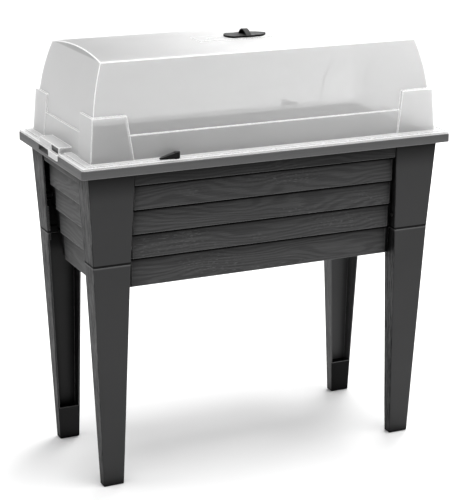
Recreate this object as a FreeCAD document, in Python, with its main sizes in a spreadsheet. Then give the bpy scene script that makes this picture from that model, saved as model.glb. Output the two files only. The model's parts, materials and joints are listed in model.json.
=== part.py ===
import FreeCAD, Part
import Sketcher
import os

# Raised planter table with a frosted lift-off cover, used as a cold frame.
# Millimetres, +Z up, origin on the ground under the middle of the planter.
# X runs along the length and the front is at -Y.

os.makedirs("parts", exist_ok=True)
doc = FreeCAD.newDocument("cold_frame")

# ---------------------------------------------------------------- driving dimensions
DIMENSIONS = {
    "rim_length": 780.0, "rim_width": 372.0, "rim_top": 649.0, "rim_plate": 3.5,
    "lip_height": 15.8, "lip_wall": 3.0, "rim_corner": 7.0,
    "tub_bottom": 398.0, "tub_wall": 3.0, "tub_half_x": 323.5, "tub_half_y": 125.0,
    "tub_flare_x": 0.152, "tub_flare_y": 0.125, "tub_round": 4.0,
    "collar_x": 367.0, "collar_y": 163.0,
    "band_bottom": 606.5, "board_pitch": 49.2, "board_low": 402.0, "board_fall": 3.5, "board_step": 3.0,
    "board_proud_top": 1.5, "board_proud_low": 8.5, "band_proud_top": 9.5, "band_proud_low": 11.0,
    "board_half_x": 279.3, "band_half_x": 278.0, "board_half_y": 88.5, "band_half_y": 98.5,
    "scoop_low": 3.0, "scoop_high": 60.0, "scoop_in": 371.0, "scoop_wall": 3.0, "scoop_radius": 13.0,
    "lug_low": 10.0, "lug_high": 49.0, "lug_in": 379.0, "lug_out": 385.4, "lug_top": 663.0,
    "leg_seam": 454.0, "leg_top": 645.0,
    "foot_x": 342.8, "foot_y": 139.5, "foot_wide": 42.5, "foot_deep": 21.5,
    "seam_x": 361.0, "seam_y": 156.7, "seam_wide": 74.8, "seam_deep": 50.7,
    "head_x": 371.5, "head_y": 167.0, "head_wide": 93.5, "head_deep": 67.5,
    "leg_wall": 3.0, "leg_gap": 0.6, "seam_gap": 1.3, "sole": 12.0, "leg_open": 70.0,
    "shoulder": 440.0, "spigot_top": 510.0, "spigot_gap": 0.4, "spigot_wall": 2.5,
    "leg_round": 2.5, "boss_radius": 5.0, "pilot_radius": 2.0, "pilot_skin": 2.6, "wall_hole_radius": 2.3,
    "high_screw": 600.0, "low_screw": 530.0, "screw_side": 122.0, "screw_seat": 3.3,
    "joint_level": 484.0, "joint_inset": 10.0, "joint_boss_radius": 4.2, "joint_boss_length": 9.0,
    "joint_pilot_radius": 1.6, "joint_pilot_length": 12.0, "joint_seat": 3.2,
    "setback_low": 2.0, "setback_high": 11.5,
    "cover_wall": 2.0, "cover_seat": 649.3, "flange_top": 652.0, "flange_half_x": 388.5,
    "flange_half_y": 184.5, "bead_width": 3.0, "bead_top": 654.5,
    "step_top": 655.0, "step_half_x": 378.0, "step_half_y": 175.5,
    "skirt_low_x": 363.5, "skirt_low_y": 162.5, "ledge_level": 702.0,
    "ledge_x": 360.6, "ledge_y": 158.9,
    "block_top": 739.0, "block_low_x": 366.0, "block_low_y": 165.0,
    "block_high_x": 359.4, "block_high_y": 161.0,
    "block_edge_low_x": 280.0, "block_edge_high_x": 291.5,
    "block_edge_low_y": 101.0, "block_edge_high_y": 95.5,
    "dome_low_x": 356.6, "dome_low_y": 156.6, "dome_high_x": 325.7, "crease_y": 133.4,
    "crease_level": 836.0, "roof_rise": 10.0, "end_bulge": 7.4, "front_bulge": 2.6,
    "end_above": 14.0, "dome_round": 3.0,
    "nub_pitch": 54.0, "nub_half": 1.5, "nub_rise": 1.8,
    "hump_out": 388.0, "hump_in": 363.0, "hump_top": 666.0, "hump_short": 55.5, "hump_long": 56.0,
    "window_low": 8.0, "window_high": 51.0, "window_sill": 652.0, "window_head": 664.0,
    "tab_bottom": 640.0, "tab_out": 392.4, "tab_gap": 0.4, "tab_near": 5.0, "tab_far": 54.0,
    "vent_pad_depth": 4.6, "vent_pad_left": 105.0, "vent_pad_right": 50.0, "vent_pad_half": 24.0,
    "vent_hole_left": 6.0, "vent_hole_right": 37.0, "vent_hole_half": 13.0,
    "vent_slot_half": 2.6, "vent_slot_play": 3.0,
    "vent_x": 9.5, "vent_y": -26.0, "vent_pad_top": 847.0, "vent_travel": 58.0,
    "vent_length": 88.0, "vent_width": 44.0, "vent_middle": 48.0, "vent_plate": 3.6,
    "vent_gap": 0.3, "vent_side_bulge": 2.2, "vent_nose_bulge": 11.0,
    "vent_waist": 8.0, "vent_shoulder": 14.0, "vent_nose": 12.0, "vent_taper": 22.0, "vent_tip": 2.5,
    "arch_rise": 10.0, "arch_strap": 2.2, "arch_web": 2.0, "arch_left": 7.5, "arch_right": 3.5,
    "arch_front": 24.0, "arch_back": 14.0, "arch_top_front": 5.5, "arch_top_back": 1.5, "arch_foot": 3.5,
    "arch_side_bulge": 1.8, "arch_top_bulge": 0.8,
    "stem_far": 20.0, "stem_near": 8.0, "stem_half": 2.2, "stem_length": 4.5, "stem_screw": 14.0,
    "stem_bore": 1.1, "stem_bore_low": 3.5, "stem_bore_length": 5.0,
    "retainer_far": 22.0, "retainer_near": 6.5, "retainer_half": 8.0, "retainer_gap": 0.4,
    "retainer_height": 2.2, "retainer_bore": 1.4, "retainer_seat": 0.85, "retainer_play": 0.1,
    "retainer_bulge": 1.0,
    "latch_x": 199.5, "latch_y": 175.5, "latch_reach": 34.0, "latch_hub": 6.0, "latch_high": 12.0,
    "latch_shaft": 4.0, "latch_gap": 0.3, "latch_tip": 2.6, "latch_tip_half": 2.4, "latch_root": 3.0,
    "latch_bore": 1.3, "latch_bore_length": 11.0, "latch_drop": 1.8,
    "latch_arm_drop": 0.6,
    "key_length": 14.0, "key_width": 7.6, "key_height": 3.6, "key_gap": 0.5, "key_bulge": 3.0,
    "key_bore": 1.6, "slot_play_x": 0.8, "slot_play_y": 0.6,
    "drain_x": 160.0, "drain_radius": 7.2, "plug_head": 12.0, "plug_disc": 3.4, "plug_fit": 0.25,
    "plug_grip": 8.0, "plug_grip_half": 1.5, "plug_grip_low": 9.0, "plug_wall": 2.0, "plug_above": 4.0,
    "seal_height": 2.0, "seal_play": 0.05, "seal_inset": 0.8,
}

sheet = doc.addObject("Spreadsheet::Sheet", "d")
for row, (alias, value) in enumerate(DIMENSIONS.items(), start=1):
    sheet.set("A%d" % row, alias.replace("_", " "))
    sheet.set("B%d" % row, str(value))
    sheet.setAlias("B%d" % row, alias)
doc.recompute()


def size(expression):
    """Value of an expression of the sheet's cells, in millimetres."""
    return float(sheet.evalExpression(expression))


def bind(item, **expressions):
    """Binds properties of an object to expressions of the sheet's cells."""
    for name, expression in expressions.items():
        item.setExpression(name.replace("__", "."), str(expression))
    return item


def neg(expression):
    return "-(%s)" % expression


def between(low, high, share):
    return "(%s)+((%s)-(%s))*(%s)" % (low, high, low, share)


# ---------------------------------------------------------------- solid helpers
# Whole millimetres added to the end of a tool only carry it past the face that it meets.
CORNERS = {"front_left": (-1, -1), "front_right": (1, -1), "back_left": (-1, 1), "back_right": (1, 1)}
ENDS = (-1, 1)


def frustum(name, z0, low, z1, high):
    """Block whose rectangle changes from low to high, each (x min, x max, y min, y max)."""
    solid = doc.addObject("Part::Wedge", name)
    bind(solid, Ymin=z0, Ymax=z1, Xmin=low[0], Xmax=low[1], Zmin=neg(low[3]), Zmax=neg(low[2]),
         X2min=high[0], X2max=high[1], Z2min=neg(high[3]), Z2max=neg(high[2]))
    solid.Placement = FreeCAD.Placement(FreeCAD.Vector(), FreeCAD.Rotation(FreeCAD.Vector(1, 0, 0), 90))
    return solid


def block(name, x0, x1, y0, y1, z0, z1):
    """Box from its lowest to its highest corner."""
    solid = doc.addObject("Part::Box", name)
    bind(solid, Length="(%s)-(%s)" % (x1, x0), Width="(%s)-(%s)" % (y1, y0), Height="(%s)-(%s)" % (z1, z0),
         Placement__Base__x=x0, Placement__Base__y=y0, Placement__Base__z=z0)
    return solid


def rod(name, radius, length, x, y, z, axis="z"):
    """Cylinder from (x, y, z) along axis, which is one of z, x, -x and y."""
    solid = doc.addObject("Part::Cylinder", name)
    turns = {"z": (0, 0, 1, 0), "x": (0, 1, 0, 90), "-x": (0, 1, 0, -90), "y": (1, 0, 0, -90)}
    ax, ay, az, angle = turns[axis]
    solid.Placement.Rotation = FreeCAD.Rotation(FreeCAD.Vector(ax, ay, az), angle)
    bind(solid, Radius=radius, Height=length,
         Placement__Base__x=x, Placement__Base__y=y, Placement__Base__z=z)
    return solid


def fuse(name, shapes):
    joined = doc.addObject("Part::MultiFuse", name)
    joined.Shapes = shapes
    return joined


def cut(name, base, tools):
    """Base less one or several tools, which have to take something away."""
    tool = tools[0] if len(tools) == 1 else fuse(name + "_tool", tools)
    result = doc.addObject("Part::Cut", name)
    result.Base = base
    result.Tool = tool
    doc.recompute()
    if result.Shape.Volume >= base.Shape.Volume - 1e-3:
        raise RuntimeError(name + " takes nothing away")
    return result


def common(name, first, second):
    result = doc.addObject("Part::Common", name)
    result.Base = first
    result.Tool = second
    return result


def rounded(name, base, radius, wanted):
    """Base with a fillet on each edge for which wanted(edge) is true."""
    doc.recompute()
    chosen = [i for i, edge in enumerate(base.Shape.Edges, start=1) if wanted(edge)]
    result = doc.addObject("Part::Fillet", name)
    result.Base = base
    result.Edges = [(i, radius, radius) for i in chosen]
    doc.recompute()
    return result


def upright(edge):
    """True for an edge that climbs more than it runs."""
    box = edge.BoundBox
    return box.ZLength > 2 * max(box.XLength, box.YLength)


def symmetric(half_x, half_y):
    return (neg(half_x), half_x, neg(half_y), half_y)


def corner_rect(rect, sx, sy):
    """Rectangle of the back right corner, mirrored to the corner (sx, sy)."""
    x_low, x_high, y_low, y_high = rect
    if sx < 0:
        x_low, x_high = neg(x_high), neg(x_low)
    if sy < 0:
        y_low, y_high = neg(y_high), neg(y_low)
    return (x_low, x_high, y_low, y_high)


def corner_block(name, rect, z0, z1, sx, sy):
    return block(name, *corner_rect(rect, sx, sy), z0, z1)


def end_block(name, end, x_in, x_out, y_low, y_high, z0, z1):
    """Block at the left end, or turned half round to the right end."""
    if end < 0:
        return block(name, neg(x_out), neg(x_in), y_low, y_high, z0, z1)
    return block(name, x_in, x_out, neg(y_high), neg(y_low), z0, z1)


# ---------------------------------------------------------------- sketch helpers
PLANES = {"XY": "XY_Plane", "XZ": "XZ_Plane", "YZ": "YZ_Plane"}
ORIGIN = -1


def new_sketch(owner, name, plane, level):
    """Sketch on an origin plane; for a body it lies level above that plane."""
    sketch = owner.newObject("Sketcher::SketchObject", name)
    for feature in owner.Origin.OriginFeatures:
        if feature.Role == PLANES[plane]:
            sketch.AttachmentSupport = [(feature, "")]
    sketch.MapMode = "FlatFace"
    sketch.setExpression("AttachmentOffset.Base.z", str(level))
    return sketch


def fix_point(sketch, geometry, end, x, y):
    """Ties one end of an edge to the origin with two dimensions."""
    for kind, expression in (("DistanceX", x), ("DistanceY", y)):
        index = sketch.addConstraint(Sketcher.Constraint(kind, ORIGIN, 1, geometry, end, size(expression)))
        sketch.setExpression("Constraints[%d]" % index, expression)


def outline(sketch, points, bulges=None):
    """Closed outline through points (anticlockwise), with an outward bulge on some edges."""
    bulges = bulges or {}
    places = [FreeCAD.Vector(size(x), size(y), 0) for x, y in points]
    count = len(points)
    first = sketch.GeometryCount
    for i, start in enumerate(places):
        end = places[(i + 1) % count]
        if i in bulges:
            along = end - start
            outward = FreeCAD.Vector(along.y, -along.x, 0).normalize()
            middle = (start + end) * 0.5 + outward * size(bulges[i])
            sketch.addGeometry(Part.Arc(start, middle, end), False)
        else:
            sketch.addGeometry(Part.LineSegment(start, end), False)
    for i in range(count):
        sketch.addConstraint(Sketcher.Constraint("Coincident", first + i, 2, first + (i + 1) % count, 1))
    for i, (x, y) in enumerate(points):
        fix_point(sketch, first + i, 1, x, y)
    for i, bulge in bulges.items():
        (x0, y0), (x1, y1) = points[i], points[(i + 1) % count]
        chord = "(((%s)-(%s))^2+((%s)-(%s))^2)" % (x1, x0, y1, y0)
        radius = "(%s/4+(%s)^2)/(2*(%s))" % (chord, bulge, bulge)
        index = sketch.addConstraint(Sketcher.Constraint("Radius", first + i, size(radius)))
        sketch.setExpression("Constraints[%d]" % index, radius)
    return sketch


def circle(sketch, x, y, radius):
    index = sketch.addGeometry(Part.Circle(FreeCAD.Vector(size(x), size(y), 0), FreeCAD.Vector(0, 0, 1),
                                           size(radius)), False)
    fix_point(sketch, index, 3, x, y)
    constraint = sketch.addConstraint(Sketcher.Constraint("Radius", index, size(radius)))
    sketch.setExpression("Constraints[%d]" % constraint, str(radius))
    return sketch


def new_body(name):
    return doc.addObject("PartDesign::Body", name)


def pad(body, sketch, length, both_sides=False, backwards=False):
    """Pad of a sketch; its length is an expression."""
    feature = body.newObject("PartDesign::Pad", sketch.Name + "_pad")
    feature.Profile = sketch
    feature.setExpression("Length", str(length))
    feature.SideType = "Symmetric" if both_sides else "One side"
    feature.Reversed = backwards
    doc.recompute()
    return feature


def pocket(body, sketch, length, both_sides=False, backwards=False):
    """Pocket of a sketch, which has to take something away."""
    before = body.Shape.Volume
    feature = body.newObject("PartDesign::Pocket", sketch.Name + "_pocket")
    feature.Profile = sketch
    feature.setExpression("Length", str(length))
    feature.SideType = "Symmetric" if both_sides else "One side"
    feature.Reversed = backwards
    doc.recompute()
    if body.Shape.Volume >= before - 1e-3:
        raise RuntimeError(sketch.Name + " cuts nothing")
    return feature


# ---------------------------------------------------------------- planter tub


def core_x(z, inset="0"):
    """Half length of the tapered tub at height z, less an inset."""
    return "d.tub_half_x+d.tub_flare_x*((%s)-d.tub_bottom)-(%s)" % (z, inset)


def core_y(z, inset="0"):
    return "d.tub_half_y+d.tub_flare_y*((%s)-d.tub_bottom)-(%s)" % (z, inset)


def core(name, z0, z1, inset):
    """Tapered block with the tub's own slope, smaller on each side by inset."""
    return frustum(name, z0, symmetric(core_x(z0, inset), core_y(z0, inset)),
                   z1, symmetric(core_x(z1, inset), core_y(z1, inset)))


def course(name, top, low, proud_top, proud_low, half_x, half_y):
    """One course of boarding right round the tub, as a long and a cross block."""
    long_course = frustum(name + "_long", low, symmetric(half_x, core_y(low, neg(proud_low))),
                          top, symmetric(half_x, core_y(top, neg(proud_top))))
    cross_course = frustum(name + "_cross", low, symmetric(core_x(low, neg(proud_low)), half_y),
                           top, symmetric(core_x(top, neg(proud_top)), half_y))
    return [long_course, cross_course]


def lapped_board(name, top, low, half_y):
    """Board that leans out to its lower edge, with a lower step round each of its ends."""
    face = course(name, top, low, "d.board_proud_top", "d.board_proud_low",
                  "d.board_half_x-d.board_step", half_y + "-d.board_step")
    step = course(name + "_step", top, low, "d.board_proud_top-1", "d.board_proud_low-d.board_fall",
                  "d.board_half_x", half_y)
    return face + step


def planter_tub():
    lip_low = "d.rim_top-d.lip_height"
    plate_low = "d.rim_top-d.rim_plate"
    shell = rounded("tub_core", core("tub_core_block", "d.tub_bottom", "d.rim_top", "0"),
                    size("d.tub_round"), upright)
    solids = [shell]
    solids += course("band", lip_low, "d.band_bottom", "d.band_proud_top", "d.band_proud_low",
                     "d.band_half_x", "d.band_half_y")
    last_course = 3
    for index in range(last_course + 1):
        top = "d.band_bottom-%d*d.board_pitch" % index
        low = "d.board_low" if index == last_course else "d.band_bottom-%d*d.board_pitch" % (index + 1)
        solids += lapped_board("board%d" % index, top, low, "d.board_half_y" if index else "d.band_half_y")
    rim_block = block("rim_block", "-d.rim_length/2", "d.rim_length/2", "-d.rim_width/2", "d.rim_width/2",
                      lip_low, "d.rim_top")
    rim_outer = rounded("rim_outer", rim_block, size("d.rim_corner"), upright)
    rim_void = block("rim_void", "d.lip_wall-d.rim_length/2", "d.rim_length/2-d.lip_wall",
                     "d.lip_wall-d.rim_width/2", "d.rim_width/2-d.lip_wall", lip_low, plate_low)
    collar = block("collar", "-d.collar_x", "d.collar_x", "-d.collar_y", "d.collar_y", lip_low, "d.rim_top")
    solids += [cut("rim_shell", rim_outer, [rim_void]), collar]
    scoops = []
    for end in ENDS:
        solids.append(end_block("scoop_block", end, "d.scoop_in", "d.rim_length/2-1",
                                "d.scoop_low-d.scoop_wall", "d.scoop_high+d.scoop_wall",
                                lip_low, "d.rim_top-1"))
        solids.append(end_block("end_lug", end, "d.lug_in", "d.lug_out", "-d.lug_high", "-d.lug_low",
                                "d.rim_top-1", "d.lug_top"))
        scoops.append(rod("scoop", "d.scoop_radius", "d.scoop_high-d.scoop_low",
                          "%d*(d.rim_length/2+1)" % end, "d.scoop_low" if end < 0 else "-d.scoop_high",
                          "d.rim_top+3", "y"))
    body = fuse("tub_solid", solids)
    hollow = core("tub_hollow", "d.tub_bottom+d.tub_wall", "d.rim_top+5", "d.tub_wall")
    holes = [hollow] + scoops
    for end in ENDS:
        holes.append(rod("drain_hole", "d.drain_radius", "20", "%d*d.drain_x" % end, "0", "d.tub_bottom-8"))
        slot_x = "%d*d.latch_x" % end
        slot_y = "%d*d.latch_y" % end
        half_x = "(d.key_length/2+d.slot_play_x)"
        half_y = "(d.latch_shaft+d.slot_play_y)"
        holes.append(block("key_slot", slot_x + "-" + half_x, slot_x + "+" + half_x, slot_y + "-" + half_y,
                           slot_y + "+" + half_y, plate_low + "-1", "d.rim_top+1"))
        for level in ("d.high_screw", "d.low_screw"):
            holes.append(rod("screw_hole", "d.wall_hole_radius", "d.rim_length+20", "-d.rim_length/2-10",
                             "%d*d.screw_side" % end, level, "x"))
    return cut("planter_tub", body, holes)


# ---------------------------------------------------------------- legs
def leg_lerp(low, high, z, z_low, z_high):
    return between(low, high, "((%s)-(%s))/((%s)-(%s))" % (z, z_low, z_high, z_low))


def leg_size(measure, z):
    """Outer corner (x, y) or outer width (wide, deep) of a leg at height z."""
    if size(z) <= size("d.leg_seam"):
        return leg_lerp("d.foot_" + measure, "d.seam_" + measure, z, "0", "d.leg_seam")
    return leg_lerp("d.seam_" + measure, "d.head_" + measure, z, "d.leg_seam", "d.leg_top")


def leg_rect(sx, sy, z, wall, inner_wall):
    """Rectangle of a leg at height z, drawn in by wall, and by inner_wall on its inner side."""
    x_out = "(%s)-(%s)" % (leg_size("x", z), wall)
    x_in = "(%s)-(%s)+(%s)" % (leg_size("x", z), leg_size("wide", z), wall)
    y_out = "(%s)-(%s)" % (leg_size("y", z), wall)
    y_in = "(%s)-(%s)+(%s)" % (leg_size("y", z), leg_size("deep", z), inner_wall)
    return corner_rect((x_in, x_out, y_in, y_out), sx, sy)


def leg_block(name, sx, sy, z0, z1, wall="0", inner_wall="0"):
    return frustum(name, z0, leg_rect(sx, sy, z0, wall, inner_wall),
                   z1, leg_rect(sx, sy, z1, wall, inner_wall))


def tub_clearance():
    """Room that every leg leaves for the tub's tapered shell and for the collar under its rim."""
    shell = core("leg_clearance", "d.tub_bottom-d.leg_gap", "d.leg_top+2", neg("d.leg_gap"))
    collar = block("collar_clearance", "-d.collar_x-d.leg_gap", "d.collar_x+d.leg_gap",
                   "-d.collar_y-d.leg_gap", "d.collar_y+d.leg_gap",
                   "d.rim_top-d.lip_height-d.leg_gap", "d.leg_top+2")
    return [shell, collar]


def joint_place(sy):
    """Inner face (x, unsigned) and y of the screw that joins a leg's two parts."""
    level = "d.joint_level"
    inner_face = "(%s)-(%s)" % (leg_size("x", level), leg_size("wide", level))
    return inner_face, "%d*((%s)-d.joint_inset)" % (sy, leg_size("y", level))


def leg_upper(name, sx, sy):
    seam = "d.leg_seam+d.seam_gap"
    outer = rounded(name + "_outer", leg_block(name + "_block", sx, sy, seam, "d.leg_top"),
                    size("d.leg_round"), upright)
    hollow = leg_block(name + "_hollow", sx, sy, "d.leg_seam-0.01", "d.leg_top+0.01", "d.leg_wall", "-2")
    shell = cut(name + "_shell", outer, [hollow])
    side = "%d*d.screw_side" % sy
    inwards = "-x" if sx > 0 else "x"
    bosses = []
    pilots = []
    for level in ("d.high_screw", "d.low_screw"):
        face = leg_size("x", level)
        reach = "(%s)-d.leg_wall/2-(%s)" % (face, core_x(level + "+d.boss_radius", "-1"))
        bosses.append(rod(name + "_boss", "d.boss_radius", reach, "%d*((%s)-d.leg_wall/2)" % (sx, face),
                          side, level, inwards))
        pilots.append(rod(name + "_pilot", "d.pilot_radius", reach, "%d*((%s)-d.pilot_skin)" % (sx, face),
                          side, level, inwards))
    inner_face, joint_y = joint_place(sy)
    joint_hole = rod(name + "_joint_hole", "d.wall_hole_radius", "2*d.leg_wall",
                     "%d*(%s-1)" % (sx, inner_face), joint_y, "d.joint_level", "x" if sx > 0 else "-x")
    return cut(name, fuse(name + "_solid", [shell] + bosses), tub_clearance() + pilots + [joint_hole])


def inner_edge_rect(sx, sy, z, depth):
    """Rectangle round the open edge of a leg's inner wall at height z."""
    x_in = "(%s)-(%s)" % (leg_size("x", z), leg_size("wide", z))
    y_in = "(%s)-(%s)" % (leg_size("y", z), leg_size("deep", z))
    return corner_rect((x_in + "-1", x_in + "+d.leg_wall+1", y_in + "-1", y_in + "+" + depth), sx, sy)


def leg_lower(name, sx, sy):
    lower = leg_block(name + "_block", sx, sy, "0", "d.leg_seam")
    outer = rounded(name + "_outer", lower, size("d.leg_round"),
                    lambda edge: upright(edge) or edge.BoundBox.ZMax < 0.01)
    spigot = leg_block(name + "_spigot", sx, sy, "d.leg_seam-0.01", "d.spigot_top",
                       "d.leg_wall+d.spigot_gap", "0")
    hollow = leg_block(name + "_hollow", sx, sy, "d.sole", "d.shoulder", "d.leg_wall", "d.leg_wall")
    inset = "d.leg_wall+d.spigot_gap+d.spigot_wall"
    neck = leg_block(name + "_neck", sx, sy, "d.shoulder-0.01", "d.leg_seam", inset, "-1")
    throat = leg_block(name + "_throat", sx, sy, "d.leg_seam-0.01", "d.spigot_top+0.01", inset, "-1")
    mouth = leg_block(name + "_mouth", sx, sy, "d.leg_open", "d.shoulder", "d.leg_wall", "-1")
    shell = cut(name + "_shell", fuse(name + "_solid", [outer, spigot]), [hollow, neck, throat, mouth])
    outwards = "x" if sx > 0 else "-x"
    inner_face, joint_y = joint_place(sy)
    boss = rod(name + "_boss", "d.joint_boss_radius", "d.joint_boss_length",
               "%d*(%s+d.leg_wall+d.spigot_gap+1)" % (sx, inner_face), joint_y, "d.joint_level", outwards)
    pilot = rod(name + "_pilot", "d.joint_pilot_radius", "d.joint_pilot_length", "%d*(%s)" % (sx, inner_face),
                joint_y, "d.joint_level", outwards)
    setback = frustum(name + "_setback", "d.leg_open", inner_edge_rect(sx, sy, "d.leg_open", "d.setback_low"),
                      "d.leg_seam", inner_edge_rect(sx, sy, "d.leg_seam", "d.setback_high"))
    return cut(name, fuse(name + "_whole", [shell, boss]), tub_clearance() + [pilot, setback])


# ---------------------------------------------------------------- screws
# Head radius, head height, shank radius and shank length of each kind.
WALL_SCREW = ("4", "2.6", "1.95", "11")
JOINT_SCREW = ("3.4", "2.2", "1.55", "10")
VENT_SCREW = ("2.6", "2", "1.05", "3.6")
LATCH_SCREW = ("3.2", "2.2", "1.25", "9")
# Hexagon recess of a head, as a share of the head's radius and height.
RECESS_WIDE = 0.5
RECESS_DEEP = 0.6


def screw(name, x, y, z, axis, kind):
    """Pan-head screw whose head starts at (x, y, z) and whose shank runs along axis."""
    head_radius, head_height, shank_radius, length = kind
    head = rod(name + "_head", head_radius, head_height, x, y, z, axis)
    shank = rod(name + "_shank", shank_radius, "%s+%s" % (head_height, length), x, y, z, axis)
    recess = doc.addObject("Part::Prism", name + "_recess")
    recess.Polygon = 6
    recess.Placement = head.Placement
    bind(recess, Circumradius="%s*%s" % (head_radius, RECESS_WIDE),
         Height="%s*%s" % (head_height, RECESS_DEEP),
         Placement__Base__x=x, Placement__Base__y=y, Placement__Base__z=z)
    return cut(name, fuse(name + "_solid", [head, shank]), [recess])


def group(name, solids):
    """Identical fasteners kept together as separate solids."""
    result = doc.addObject("Part::Compound", name)
    result.Links = solids
    return result


def leg_screws():
    screws = []
    for sx, sy in CORNERS.values():
        for level in ("d.high_screw", "d.low_screw"):
            inner_face = core_x(level + "-%s" % WALL_SCREW[0], "d.tub_wall")
            screws.append(screw("leg_screw", "%d*(%s-d.screw_seat)" % (sx, inner_face),
                                "%d*d.screw_side" % sy, level, "x" if sx > 0 else "-x", WALL_SCREW))
    return group("leg_screws", screws)


def leg_joint_screws():
    screws = []
    for sx, sy in CORNERS.values():
        inner_face, joint_y = joint_place(sy)
        screws.append(screw("joint_screw", "%d*(%s-d.joint_seat)" % (sx, inner_face), joint_y,
                            "d.joint_level", "x" if sx > 0 else "-x", JOINT_SCREW))
    return group("leg_joint_screws", screws)


# ---------------------------------------------------------------- cover
def dome(name, inset, low):
    """Arched dome: a width profile run along X, met by a length profile run along Y."""
    ledge_y, ledge_x = "d.dome_low_y-(%s)" % inset, "d.dome_low_x-(%s)" % inset
    crease_y, high_x = "d.crease_y-(%s)" % inset, "d.dome_high_x-(%s)" % inset
    crease_z = "d.crease_level-(%s)" % inset
    across = new_body(name + "_across")
    width = outline(new_sketch(across, name + "_width", "YZ", "0"),
                    [(neg(ledge_y), low), (ledge_y, low), (ledge_y, "d.ledge_level"), (crease_y, crease_z),
                     (neg(crease_y), crease_z), (neg(ledge_y), "d.ledge_level")],
                    {2: "d.front_bulge", 3: "d.roof_rise", 4: "d.front_bulge"})
    pad(across, width, "2*d.rim_length", both_sides=True)
    along = new_body(name + "_along")
    top = "d.crease_level+d.end_above"
    length = outline(new_sketch(along, name + "_length", "XZ", "0"),
                     [(neg(ledge_x), low), (ledge_x, low), (ledge_x, "d.ledge_level"), (high_x, top),
                      (neg(high_x), top), (neg(ledge_x), "d.ledge_level")],
                     {2: "d.end_bulge", 4: "d.end_bulge"})
    pad(along, length, "2*d.rim_width", both_sides=True)
    return common(name, across, along)


def corner_blocks(name, inset, low):
    """Four blocks that stand proud of the skirt and dome at the corners."""
    high = "d.block_top-(%s)" % inset
    low_rect = symmetric("d.block_low_x-(%s)" % inset, "d.block_low_y-(%s)" % inset)
    high_rect = symmetric("d.block_high_x-(%s)" % inset, "d.block_high_y-(%s)" % inset)
    whole = frustum(name + "_whole", low, low_rect, high, high_rect)
    prisms = []
    for sx, sy in CORNERS.values():
        foot_rect = ("d.block_edge_low_x+(%s)" % inset, "d.rim_length/2",
                     "d.block_edge_low_y+(%s)" % inset, "d.rim_width/2")
        head_rect = ("d.block_edge_high_x+(%s)" % inset, "d.rim_length/2",
                     "d.block_edge_high_y+(%s)" % inset, "d.rim_width/2")
        prisms.append(frustum(name + "_prism", "d.step_top", corner_rect(foot_rect, sx, sy),
                              "d.block_top", corner_rect(head_rect, sx, sy)))
    return common(name, whole, fuse(name + "_prisms", prisms))


def skirt(name, inset, low, high):
    return frustum(name, low, symmetric("d.skirt_low_x-(%s)" % inset, "d.skirt_low_y-(%s)" % inset),
                   high, symmetric("d.ledge_x-(%s)" % inset, "d.ledge_y-(%s)" % inset))


def vent_block(name, left, right, half, z0, z1):
    """Block placed about the roof vent's centre."""
    return block(name, "d.vent_x-(%s)" % left, "d.vent_x+(%s)" % right,
                 "d.vent_y-(%s)" % half, "d.vent_y+(%s)" % half, z0, z1)


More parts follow.
